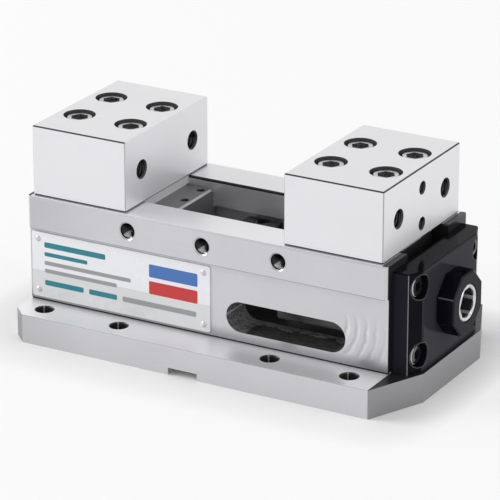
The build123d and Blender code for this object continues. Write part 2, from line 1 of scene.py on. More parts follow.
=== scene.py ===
"""Finishes, threads, name plate print, light and camera for the self centering vise."""

from __future__ import annotations

import json
import logging
import math
from abc import ABC, abstractmethod
from collections.abc import Iterable
from dataclasses import dataclass
from enum import Enum
from functools import partial, reduce

import bmesh
import bpy
import numpy as np
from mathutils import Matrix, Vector


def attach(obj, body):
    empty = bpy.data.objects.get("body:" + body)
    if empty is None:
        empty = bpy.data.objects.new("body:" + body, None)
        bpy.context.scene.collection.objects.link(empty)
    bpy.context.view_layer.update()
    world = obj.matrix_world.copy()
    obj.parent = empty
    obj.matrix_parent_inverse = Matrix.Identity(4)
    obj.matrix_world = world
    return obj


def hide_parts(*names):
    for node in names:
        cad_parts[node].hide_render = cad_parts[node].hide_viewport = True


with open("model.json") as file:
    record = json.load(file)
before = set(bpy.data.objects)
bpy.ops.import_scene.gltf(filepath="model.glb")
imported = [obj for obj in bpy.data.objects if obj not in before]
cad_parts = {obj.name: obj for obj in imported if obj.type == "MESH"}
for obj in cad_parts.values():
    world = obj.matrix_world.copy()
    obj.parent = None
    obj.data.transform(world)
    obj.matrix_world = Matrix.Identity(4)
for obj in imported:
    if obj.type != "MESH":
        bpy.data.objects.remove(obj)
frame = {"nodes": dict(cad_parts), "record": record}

LOG = logging.getLogger("vise")
MM = 0.001
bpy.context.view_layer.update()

Colour = tuple[float, float, float]
Span = tuple[float, float]
Socket = bpy.types.NodeSocket
Value = Socket | float
Point = tuple[float, float, float]


class Lay(Enum):
    """Direction of the grinding or milling lines on a surface, as a factor for each axis."""

    ALONG_X = (0.035, 1.0, 1.0)
    ALONG_Y = (1.0, 0.035, 1.0)
    ROUND_X = (1.0, 0.06, 0.06)
    EVEN = (1.0, 1.0, 1.0)


class Side(Enum):
    """The two halves of the vise, with the sign of their X."""

    IDLE = -1
    DRIVE = 1


@dataclass(frozen=True)
class Pattern:
    """Noise with its features per metre, its number of octaves and a factor for each axis."""

    scale: float
    octaves: float = 3.0
    stretch: Point = (1.0, 1.0, 1.0)


class Shader:
    """Node tree of one material, with short calls for the nodes that the finishes share."""

    noise_roughness = 0.6
    noise_span = (0.3, 0.7)

    def __init__(self, name: str) -> None:
        """Start a tree with a Principled surface and the distances from the two middle planes.

        Args:
            name: Name of the new material.
        """
        self.material = bpy.data.materials.new(name)
        self.material.use_nodes = True
        self.tree = self.material.node_tree
        self.tree.nodes.clear()
        self.surface = self.node("ShaderNodeBsdfPrincipled")
        self.output = self.node("ShaderNodeOutputMaterial")
        self.join(self.surface.outputs["BSDF"], self.output.inputs["Surface"])
        self.place = self.node("ShaderNodeTexCoord").outputs["Object"]
        parts = self.node("ShaderNodeSeparateXYZ")
        self.join(self.place, parts.inputs["Vector"])
        self.x, y, self.z = parts.outputs
        self.far_x = self.maths("ABSOLUTE", self.x)
        self.far_y = self.maths("ABSOLUTE", y)

    def node(self, kind: str) -> bpy.types.Node:
        """Add one node of the given kind."""
        return self.tree.nodes.new(kind)

    def join(self, source: Socket, target: Socket) -> None:
        """Link two sockets."""
        self.tree.links.new(source, target)

    def filled(
        self,
        node: bpy.types.Node,
        inputs: dict[str | int, Value | tuple[float, ...]],
        output: str | int,
    ) -> Socket:
        """Output of a node, once its inputs have their links or their fixed values.

        Args:
            node: Node to fill.
            inputs: Name or number of each input, with its socket or its fixed value.
            output: Name or number of the output.

        Returns:
            The output's socket.
        """
        for slot, value in inputs.items():
            if isinstance(value, Socket):
                self.join(value, node.inputs[slot])
            else:
                node.inputs[slot].default_value = value
        return node.outputs[output]

    def coat(self, inputs: dict[str, Value]) -> None:
        """Fill inputs of the Principled surface."""
        self.filled(self.surface, inputs, "BSDF")

    def noise(self, pattern: Pattern) -> Socket:
        """Value of a noise on the object's coordinates.

        Args:
            pattern: What the noise is like.

        Returns:
            Socket with the noise value.
        """
        mapping = self.node("ShaderNodeMapping")
        where = self.filled(mapping, {"Vector": self.place, "Scale": pattern.stretch}, "Vector")
        node = self.node("ShaderNodeTexNoise")
        sizes = {"Scale": pattern.scale, "Detail": pattern.octaves}
        inputs = {"Vector": where, **sizes, "Roughness": self.noise_roughness}
        return self.filled(node, inputs, "Fac")

    def mapped(self, way: str, value: Socket, reach: Span, first: Value, last: float) -> Socket:
        """Number that goes from a first to a last one while a value passes a reach.

        Args:
            way: Blender's name for the curve of the change.
            value: Value that passes the reach.
            reach: Start and end of the change, in either order.
            first: Result before the start.
            last: Result after the end.

        Returns:
            Socket with the result.
        """
        node = self.node("ShaderNodeMapRange")
        node.interpolation_type = way
        ends = {"From Min": reach[0], "From Max": reach[1], "To Min": first, "To Max": last}
        return self.filled(node, {"Value": value, **ends}, "Result")

    def ranged(self, noise: Socket, low: float, high: float) -> Socket:
        """Noise moved in a straight line from its usual span to a new one."""
        return self.mapped("LINEAR", noise, self.noise_span, low, high)

    def faded(self, value: Socket, reach: Span, first: Value, last: float) -> Socket:
        """Number that goes smoothly from a first to a last one while a value passes a reach."""
        return self.mapped("SMOOTHSTEP", value, reach, first, last)

    def maths(self, operation: str, first: Value, second: Value = 0.0) -> Socket:
        """Result of one math node.

        Args:
            operation: Name of Blender's math operation.
            first: First value.
            second: Second value.

        Returns:
            Socket with the result.
        """
        node = self.node("ShaderNodeMath")
        node.operation = operation
        return self.filled(node, {0: first, 1: second}, "Value")

    def chain(self, operation: str, values: Iterable[Value]) -> Socket:
        """One math operation carried through several values, from the first to the last."""
        return reduce(partial(self.maths, operation), values)

    def squares(self, values: Iterable[Socket], centre: Span = (0.0, 0.0)) -> Socket:
        """Sum of the squares of two values' distances from a centre.

        Args:
            values: The two values.
            centre: What is taken from each.

        Returns:
            Socket with the sum.
        """
        gaps = [self.maths("SUBTRACT", value, middle) for value, middle in zip(values, centre)]
        return self.maths("ADD", *(self.maths("MULTIPLY", gap, gap) for gap in gaps))

    def between(self, value: Socket, low: float, high: float) -> Socket:
        """1 where a value lies between two limits and 0 elsewhere.

        Args:
            value: Value to test.
            low: Lower limit.
            high: Upper limit.

        Returns:
            Socket with the mask.
        """
        above = self.maths("GREATER_THAN", value, low)
        below = self.maths("LESS_THAN", value, high)
        return self.maths("MULTIPLY", above, below)

    def blend(self, share: Socket, dark: Colour, light: Colour) -> Socket:
        """Colour between two colours.

        Args:
            share: 0 gives dark and 1 gives light.
            dark: First colour.
            light: Second colour.

        Returns:
            Socket with the colour.
        """
        ramp = self.node("ShaderNodeValToRGB")
        for stop, colour in zip(ramp.color_ramp.elements, (dark, light)):
            stop.color = (*colour, 1.0)
        return self.filled(ramp, {"Fac": share}, "Color")

    def toned(self, share: Socket, colour: Colour, tones: Span) -> Socket:
        """Colour times a factor that goes through a span of tones with the share."""
        dark, light = (tuple(channel * tone for channel in colour) for tone in tones)
        return self.blend(share, dark, light)

    def mixed(self, share: Socket, first: Socket, second: Socket | Colour) -> Socket:
        """Mix of a colour socket and another colour.

        Args:
            share: 0 gives the first and 1 the second.
            first: Colour socket.
            second: Colour socket or fixed colour.

        Returns:
            Socket with the colour.
        """
        node = self.node("ShaderNodeMix")
        node.data_type = "RGBA"
        other = second if isinstance(second, Socket) else (*second, 1.0)
        return self.filled(node, {0: share, 6: first, 7: other}, 2)

    def times(self, colour: Socket, factor: Socket) -> Socket:
        """Colour times a factor.

        Args:
            colour: Colour socket.
            factor: Factor socket.

        Returns:
            Socket with the product.
        """
        node = self.node("ShaderNodeVectorMath")
        node.operation = "SCALE"
        return self.filled(node, {"Vector": colour, "Scale": factor}, "Vector")

    def bump(self, height: Socket, depth: float, strength: float) -> None:
        """Bump on the surface.

        Args:
            height: Height between 0 and 1.
            depth: Depth of the relief in metres.
            strength: Strength between 0 and 1.
        """
        inputs = {"Height": height, "Distance": depth, "Strength": strength}
        self.coat({"Normal": self.filled(self.node("ShaderNodeBump"), inputs, "Normal")})


class Place(ABC):
    """Place on a surface, with its sizes in millimetres."""

    @abstractmethod
    def mask(self, shader: Shader) -> Socket:
        """1 inside the place and 0 elsewhere."""


@dataclass(frozen=True)
class Bore(Place):
    """Round place on a surface, seen along one axis.

    The centre is given as distances from the vise's two middle planes, so one bore stands for
    its mirror images too. A reach along the axis may limit it, and an inner radius makes it
    a ring.
    """

    axis: str
    centre: Span
    radius: float
    reach: Span | None = None
    inner_radius: float = 0.0

    def mask(self, shader: Shader) -> Socket:
        """1 inside the circle or ring.

        There the squares of the two distances from the centre add up to a number between the
        squares of the two radii.

        Args:
            shader: Shader that the nodes go in.

        Returns:
            Socket with the mask.
        """
        along, *across = {
            "x": (shader.far_x, shader.far_y, shader.z),
            "y": (shader.far_y, shader.far_x, shader.z),
            "z": (shader.z, shader.far_x, shader.far_y),
        }[self.axis]
        squared = shader.squares(across, (self.centre[0] * MM, self.centre[1] * MM))
        inner, outer = ((radius * MM) ** 2 for radius in (self.inner_radius, self.radius))
        if self.inner_radius:
            inside = shader.between(squared, inner, outer)
        else:
            inside = shader.maths("LESS_THAN", squared, outer)
        if self.reach is None:
            return inside
        near = shader.between(along, self.reach[0] * MM, self.reach[1] * MM)
        return shader.maths("MULTIPLY", inside, near)


@dataclass(frozen=True)
class Band(Place):
    """Box-shaped place on a surface.

    X and Y are distances from the two middle planes, so one band stands for its mirror images
    too, unless X has its sign.
    """

    x: Span | None = None
    y: Span | None = None
    z: Span | None = None
    signed_x: bool = False

    def mask(self, shader: Shader) -> Socket:
        """1 inside the box, the product of one mask for each limited direction.

        Args:
            shader: Shader that the nodes go in.

        Returns:
            Socket with the mask.
        """
        along = shader.x if self.signed_x else shader.far_x
        limits = ((along, self.x), (shader.far_y, self.y), (shader.z, self.z))
        return shader.chain(
            "MULTIPLY",
            [shader.between(value, pair[0] * MM, pair[1] * MM) for value, pair in limits if pair],
        )


@dataclass(frozen=True)
class Patch:
    """Places where a finish has another colour."""

    colour: Colour
    places: tuple[Place, ...]

    def over(self, shader: Shader, colour: Socket) -> Socket:
        """Colour with this patch on it.

        Args:
            shader: Shader that the nodes go in.
            colour: Colour below.

        Returns:
            Socket with the new colour.
        """
        mask = shader.chain("MAXIMUM", [place.mask(shader) for place in self.places])
        return shader.mixed(mask, colour, self.colour)


@dataclass(frozen=True)
class Finish(ABC):
    """What every finish has: a name, a colour, a roughness and patches of other colours."""

    name: str
    colour: Colour
    roughness: float = 0.3
    patches: tuple[Patch, ...] = ()

    @abstractmethod
    def dress(self, shader: Shader) -> Socket:
        """Fill the surface's other inputs and give its colour below the patches."""

    def build(self) -> bpy.types.Material:
        """Material for this finish, with each patch over what is below it.

        Returns:
            The new material.
        """
        shader = Shader(self.name)
        colour = self.dress(shader)
        for patch in self.patches:
            colour = patch.over(shader, colour)
        shader.coat({"Base Color": colour})
        return shader.material


@dataclass(frozen=True)
class MachinedSteel(Finish):
    """Ground, milled or turned steel with fine lines and slow clouding."""

    lay: Lay = Lay.EVEN
    line_scale: float = 1500.0
    line_octaves: float = 6.0
    line_depth: float = 0.01 * MM
    line_strength: float = 0.12
    line_contrast: float = 0.02
    clouds: Pattern = Pattern(22.0)
    cloud_contrast: float = 0.02
    middle_share: float = 0.5
    tones: Span = (0.5, 1.5)
    roughness_swing: float = 1.2
    metallic: float = 1.0

    def shade(self, shader: Shader, colour: Socket) -> Socket:
        """Colour with what a special finish adds; here unchanged."""
        return colour

    def dress(self, shader: Shader) -> Socket:
        """Lines and clouds, which add up to a share of the tones and move the roughness.

        Args:
            shader: Shader to fill.

        Returns:
            Socket with the colour.
        """
        lines = shader.noise(Pattern(self.line_scale, self.line_octaves, self.lay.value))
        clouds = shader.noise(self.clouds)
        line_share = shader.ranged(lines, -self.line_contrast, self.line_contrast)
        cloud_share = shader.ranged(clouds, -self.cloud_contrast, self.cloud_contrast)
        share = shader.chain("ADD", (line_share, cloud_share, self.middle_share))
        swing = shader.maths("MULTIPLY", line_share, self.roughness_swing)
        rough = shader.maths("ADD", swing, self.roughness)
        shader.coat({"Roughness": rough, "Metallic": self.metallic})
        shader.bump(lines, self.line_depth, self.line_strength)
        return self.shade(shader, shader.toned(share, self.colour, self.tones))


@dataclass(frozen=True)
class BodySteel(MachinedSteel):
    """Steel of the vise body, with face mill marks and places of painted shade and painted light.
    """

    mill_centre: Span = (81.5 * MM, 44.0 * MM)
    mill_start: float = 95.0 * MM
    mill_foot: Span = (23.5 * MM, 27.0 * MM)
    mill_top: Span = (41.0 * MM, 55.0 * MM)
    mill_end: Span = (110.0 * MM, 124.0 * MM)
    mill_end_share: float = 0.35
    mill_pitch: float = 6.4 * MM
    mill_drift: Pattern = Pattern(90.0)
    mill_wander: float = 5.0
    mill_fine_turns: float = 2.0
    mill_fine_share: float = 0.6
    mill_contrast: float = 0.25
    mill_wear: Pattern = Pattern(45.0, 2.0)
    mill_wear_span: Span = (0.2, 1.0)
    wall_foot: float = 19.4 * MM
    foot_fade: float = 9.0 * MM
    foot_reach: Span = (90.0 * MM, 118.0 * MM)
    foot_shares: Span = (0.5, 0.25)
    idle_fade: Span = (-123.4 * MM, -60.0 * MM)
    idle_share: float = 0.87
    idle_cut: Span = (-123.3 * MM, -113.9 * MM)
    idle_cut_shade: float = 0.55
    base_top: float = 18.4 * MM
    window_length: Span = (15.0 * MM, 94.0 * MM)
    window_depth: Span = (27.0 * MM, 49.8 * MM)
    window_top: float = 46.0 * MM
    window_light_end: float = 28.0 * MM
    window_light_strip: float = 33.0 * MM
    window_edge: Pattern = Pattern(130.0, 3.0, (1.0, 0.1, 1.0))
    window_wave: float = 3.0 * MM
    window_grain: Pattern = Pattern(700.0, 4.0, (0.4, 1.0, 1.0))
    window_grain_span: Span = (0.25, 1.4)
    # Painted light and painted shade of the window's walls.
    window_light: Colour = (0.42, 0.42, 0.43)
    window_dark: Colour = (0.11, 0.105, 0.1)

    def shade(self, shader: Shader, colour: Socket) -> Socket:
        """Colour times the arcs' factor and the painted shade, with the window's painted light and
        shade.
        """
        for factor in (self.arcs(shader), self.foot(shader), self.idle_end(shader)):
            colour = shader.times(colour, factor)
        return self.window_light_and_shade(shader, colour)

    def arcs(self, shader: Shader) -> Socket:
        """Factor of the milling marks, two sines of the distance from the cutter's centre.

        Args:
            shader: Shader that the nodes go in.

        Returns:
            Socket with 1 away from the marks, and more or less than 1 on them.
        """
        distance = shader.maths("SQRT", shader.squares((shader.x, shader.z), self.mill_centre))
        turns = shader.maths("MULTIPLY", distance, 2 * math.pi / self.mill_pitch)
        wander = shader.maths("MULTIPLY", shader.noise(self.mill_drift), self.mill_wander)
        angle = shader.maths("ADD", turns, wander)
        broad = shader.maths("SINE", angle)
        fine = shader.maths("SINE", shader.maths("MULTIPLY", angle, self.mill_fine_turns))
        wave = shader.maths("ADD", broad, shader.maths("MULTIPLY", fine, self.mill_fine_share))
        limits = (
            shader.ranged(shader.noise(self.mill_wear), *self.mill_wear_span),
            shader.maths("GREATER_THAN", shader.x, self.mill_start),
            shader.faded(shader.z, self.mill_foot, 0.0, 1.0),
            shader.faded(shader.z, self.mill_top, 1.0, 0.0),
            shader.faded(shader.x, self.mill_end, 1.0, self.mill_end_share),
        )
        share = shader.chain("MULTIPLY", (wave, self.mill_contrast, *limits))
        return shader.maths("ADD", share, 1.0)

    def foot(self, shader: Shader) -> Socket:
        """Factor of painted shade, falling towards the foot of the lower wall, most at the drive
        end.

        Args:
            shader: Shader that the nodes go in.

        Returns:
            Socket with the foot's share at the foot and 1 above the fade.
        """
        share = shader.faded(shader.x, self.foot_reach, *self.foot_shares)
        reach = (self.wall_foot, self.wall_foot + self.foot_fade)
        rising = shader.faded(shader.z, reach, share, 1.0)
        below = shader.maths("LESS_THAN", shader.z, self.wall_foot)
        return shader.maths("MAXIMUM", rising, below)

    def idle_end(self, shader: Shader) -> Socket:
        """Factor of painted shade, a little towards the idle end and more on the base's cut
        corners.

        Args:
            shader: Shader that the nodes go in.

        Returns:
            Socket with the product of both.
        """
        end = shader.faded(shader.x, self.idle_fade, self.idle_share, 1.0)
        low = shader.maths("LESS_THAN", shader.z, self.base_top)
        cut = shader.between(shader.x, *self.idle_cut)
        loss = shader.chain("MULTIPLY", (cut, low, self.idle_cut_shade))
        return shader.maths("MULTIPLY", end, shader.maths("SUBTRACT", 1.0, loss))

    def window_light_and_shade(self, shader: Shader, colour: Socket) -> Socket:
        """Window walls in painted shade, with painted light on their idle end and a wavy inner
        strip.

        Args:
            shader: Shader that the nodes go in.
            colour: Colour below.

        Returns:
            Socket with the new colour.
        """
        wave = shader.ranged(shader.noise(self.window_edge), -1.0, 1.0)
        swing = shader.maths("MULTIPLY", wave, self.window_wave)
        edge = shader.maths("ADD", swing, self.window_light_strip)
        strip = shader.maths("LESS_THAN", shader.far_y, edge)
        idle_end = shader.maths("LESS_THAN", shader.x, self.window_light_end)
        light = shader.maths("MAXIMUM", strip, idle_end)
        grain = shader.ranged(shader.noise(self.window_grain), *self.window_grain_span)
        painted_window = shader.times(shader.blend(light, self.window_dark, self.window_light), grain)
        limits = (
            shader.between(shader.z, self.wall_foot, self.window_top),
            shader.between(shader.far_y, *self.window_depth),
            shader.between(shader.x, *self.window_length),
        )
        return shader.mixed(shader.chain("MULTIPLY", limits), colour, painted_window)


@dataclass(frozen=True)
class SliderSteel(MachinedSteel):
    """Steel of the sliders, with dark and light streaks on the parts that run in the channel."""

    streak_top: float = 62.0 * MM
    streaks: Pattern = Pattern(60.0, 3.0, (0.25, 1.0, 1.0))
    dark_streak: Colour = (0.015, 0.015, 0.016)
    light_streak: Colour = (0.32, 0.32, 0.32)

    def shade(self, shader: Shader, colour: Socket) -> Socket:
        """Colour with a noise drawn out along X below the slider's head.

        Args:
            shader: Shader that the nodes go in.
            colour: Colour above.

        Returns:
            Socket with the new colour.
        """
        streaks = shader.ranged(shader.noise(self.streaks), 0.0, 1.0)
        streaked = shader.blend(streaks, self.dark_streak, self.light_streak)
        low = shader.maths("LESS_THAN", shader.z, self.streak_top)
        return shader.mixed(low, colour, streaked)


RAIL_HOLE_PITCH = 52.0
RAIL_HOLE_HEIGHT = 76.6


@dataclass(frozen=True)
class RailThreadSteel(MachinedSteel):
    """Steel of the rails' threads, in painted light, with painted shade at the mouth and the upper
    side.
    """

    mouth: float = 53.0 * MM
    shade_depth: float = 1.2 * MM
    lit_depth: float = 3.0 * MM
    shade_share: float = 0.05
    hole_pitch: float = RAIL_HOLE_PITCH * MM
    hole_height: float = RAIL_HOLE_HEIGHT * MM
    edge_width: float = 1.2 * MM

    def shade(self, shader: Shader, colour: Socket) -> Socket:
        """Colour times two factors of painted shade, which grow from the shade share to 1.

        One grows with the depth, and the other towards the lower side at the drive end, where the
        distance from the hole's middle along X is larger than the one upwards.

        Args:
            shader: Shader that the nodes go in.
            colour: Colour of the side in painted light.

        Returns:
            Socket with the new colour.
        """
        depths = (self.mouth - self.shade_depth, self.mouth - self.lit_depth)
        deep = shader.faded(shader.far_y, depths, self.shade_share, 1.0)
        moved = shader.maths("ADD", shader.x, self.hole_pitch / 2)
        across = shader.maths("FLOORED_MODULO", moved, self.hole_pitch)
        along = shader.maths("SUBTRACT", across, self.hole_pitch / 2)
        upward = shader.maths("SUBTRACT", shader.z, self.hole_height)
        slope = shader.maths("SUBTRACT", along, upward)
        lower = shader.faded(slope, (-self.edge_width, self.edge_width), self.shade_share, 1.0)
        return shader.times(colour, shader.maths("MULTIPLY", deep, lower))


@dataclass(frozen=True)
class BlackFinish(Finish):
    """Glossy or satin black oxide on steel."""

    gloss: float = 0.028
    speckle: Pattern = Pattern(900.0, 5.0)
    speckle_depth: float = 0.01 * MM
    speckle_strength: float = 0.05
    clouds: Pattern = Pattern(35.0)
    tones: Span = (0.6, 1.5)
    roughness_swing: Span = (-0.03, 0.04)

    def dress(self, shader: Shader) -> Socket:
        """Clouds, which share out the tones, and speckle, which moves the roughness.

        Args:
            shader: Shader to fill.

        Returns:
            Socket with the colour.
        """
        speckle = shader.noise(self.speckle)
        low, high = (self.roughness + swing for swing in self.roughness_swing)
        shader.coat({
            "Specular IOR Level": self.gloss,
            "Roughness": shader.ranged(speckle, low, high),
        })
        shader.bump(speckle, self.speckle_depth, self.speckle_strength)
        return shader.toned(shader.noise(self.clouds), self.colour, self.tones)


@dataclass(frozen=True)
class Enamel(Finish):
    """Printed or stoved enamel, evenly coloured with a faint unevenness."""

    clouds: Pattern = Pattern(60.0)
    tones: Span = (0.95, 1.0)
    roughness_swing: float = 0.04

    def dress(self, shader: Shader) -> Socket:
        """Clouds, which share out the tones and move the roughness.

        Args:
            shader: Shader to fill.

        Returns:
            Socket with the colour.
        """
        clouds = shader.noise(self.clouds)
        low = self.roughness - self.roughness_swing
        high = self.roughness + self.roughness_swing
        shader.coat({"Roughness": shader.ranged(clouds, low, high)})
        return shader.toned(clouds, self.colour, self.tones)


# Painted shade: near black in holes, sockets, gaps and edge lines, and the black end plate's
# painted dark reflection.
PAINTED_SHADE = (0.03, 0.03, 0.032)
# Painted shade in recesses: the channel, the flange holes and the jaws' counterbores.
PAINTED_RECESS_SHADE = (0.06, 0.06, 0.062)

FLANGE_HOLE_X = (52.5, 106.0)
# Painted shade in the flange holes.
FLANGE_HOLES = tuple(Bore("z", (x, 63.0), 6.15) for x in FLANGE_HOLE_X)
FLANGE_HOLE_GLINTS = tuple(
    Band(x=(x - 3.6, x - 2.8), y=(57.8, 59.0), z=(9.0, 18.2), signed_x=True)
    for x in (*FLANGE_HOLE_X, *(-x for x in FLANGE_HOLE_X))
)
# Painted shade deep in the rails' tapped holes.
RAIL_HOLES = tuple(
    Bore("y", (x, RAIL_HOLE_HEIGHT), 5.2, (30.0, 52.1)) for x in (0.0, RAIL_HOLE_PITCH)
)
# Painted light: the rail tops are lighter than the rest of the body.
RAIL_TOP = (Band(z=(86.9, 87.2)),)
# Painted shade: dark lines along the rails' lower edges and round the base's top edge.
RAIL_EDGES = (Band(y=(52.5, 53.1), z=(65.9, 66.35)), Band(z=(18.2, 18.45)))
# Painted light: the base's top is lighter than the rest of the body.
BASE_TOP = (Band(z=(18.45, 18.55)),)
# Painted shade in the groove at the foot of the lower wall.
FOOT_GROOVE = (Band(y=(49.0, 49.95), z=(18.4, 19.42)),)
WINDOW_GLINT = (Band(x=(15.2, 17.2), y=(31.0, 49.7), z=(34.2, 35.6)),)
# Painted shade on the channel's lips.
CHANNEL_LIPS = (Band(y=(26.9, 27.85), z=(85.4, 87.05)),)
# Painted shade deep in the channel.
CHANNEL_DEPTH = (Band(y=(-1.0, 27.3), z=(19.0, 70.0)),)
# Painted shade on the base's faces at the drive end.
DRIVE_FLANGE_SIDES = (Band(x=(125.1, 150.0), z=(-0.1, 18.2)),)
# Painted shade, and the black end plate's painted dark reflection, on the body's drive end.
DRIVE_END_FACE = (
    Band(x=(124.6, 125.6), y=(20.0, 53.1), z=(19.5, 87.3)),
    Band(x=(121.2, 125.6), z=(86.9, 87.3)),
    Band(x=(125.05, 150.0), z=(18.45, 18.6)),
    Band(x=(113.0, 125.1), y=(26.9, 27.9), z=(69.0, 86.9)),
)

JAW_SCREWS = ((69.2, 18.75), (105.8, 18.75))
# Painted shade in the jaws' counterbores and screw sockets.
JAW_COUNTERBORES = tuple(Bore("z", place, 10.03) for place in JAW_SCREWS)
JAW_SOCKETS = tuple(Bore("z", place, 4.7) for place in JAW_SCREWS)
JAW_OUTER_END = (105.0, 121.0)
# Painted shade in the jaws' tapped holes.
JAW_TAPPED = (
    Bore("x", (30.6, 109.15), 6.2),
    Bore("x", (0.0, 118.85), 4.25, JAW_OUTER_END),
    Bore("x", (0.0, 96.25), 4.25, JAW_OUTER_END),
)
# Painted shade on the jaws' top chamfers.
JAW_DARK_EDGES = (
    Band(y=(49.25, 50.1), z=(131.3, 132.2)),
    Band(x=(119.75, 120.6), z=(131.3, 132.2)),
)
# Painted shade on the jaws' upright edges.
JAW_GREY_EDGES = (
    Band(x=(54.4, 55.0), y=(49.4, 50.1)),
    Band(x=(119.9, 120.6), y=(49.4, 50.1)),
)
# Painted shadow under the jaws.
JAW_FOOT_EDGE = (Band(z=(87.1, 88.1)),)

# Painted shade on the centre block and the sliders' outer ends.
CENTRE_BLOCK = (Band(x=(-1.0, 12.2)),)
SLIDER_OUTER_END = (Band(x=(113.5, 114.5)),)
# Painted highlights on the sliders' inner chamfers.
SLIDER_CHAMFER_HIGHLIGHTS = (
    Band(x=(37.05, 38.2), z=(80.5, 81.65)),
    Band(x=(37.05, 38.2), y=(25.7, 26.9), z=(62.0, 81.6)),
)

PLATE_SCREWS = ((37.0, 29.2), (37.0, 72.2))
# Painted highlights round the end plate's counterbores and on the rims of the screw heads in them.
PLATE_SCREW_RIM_HIGHLIGHTS = tuple(Bore("x", place, 8.15, (135.2, 140.9), 7.55) for place in PLATE_SCREWS)
PLATE_HEAD_RIM_HIGHLIGHTS = tuple(Bore("x", place, 6.6, (136.2, 137.2), 5.75) for place in PLATE_SCREWS)
# Painted light: the end plate's bevelled sides and flat face are lighter than its top.
PLATE_SIDES = (Band(x=(125.1, 135.3), y=(46.3, 46.8), z=(18.4, 82.0)),)
PLATE_FACE = (Band(x=(139.8, 140.9)),)
# Painted highlight on the end plate's upright edge.
PLATE_EDGE_HIGHLIGHT = (Band(x=(135.25, 135.8), y=(46.1, 46.6)),)
# Painted light: the hub's end face is lighter than its sides.
HUB_END = (Band(x=(151.0, 152.2)),)
# Painted highlight along one edge of the hub.
HUB_EDGE_HIGHLIGHT = (Band(x=(141.6, 151.3), y=(18.3, 19.2), z=(59.15, 59.95)),)
# Painted shade in the drive socket.
DRIVE_SOCKET = (Bore("x", (0.0, 51.7), 9.2),)
SOCKET_GLINT = (Band(x=(133.0, 151.8), y=(-1.0, 9.9), z=(51.2, 52.6)),)
NAME_PLATE_LOWER_HALF = (Band(z=(20.0, 38.5)),)


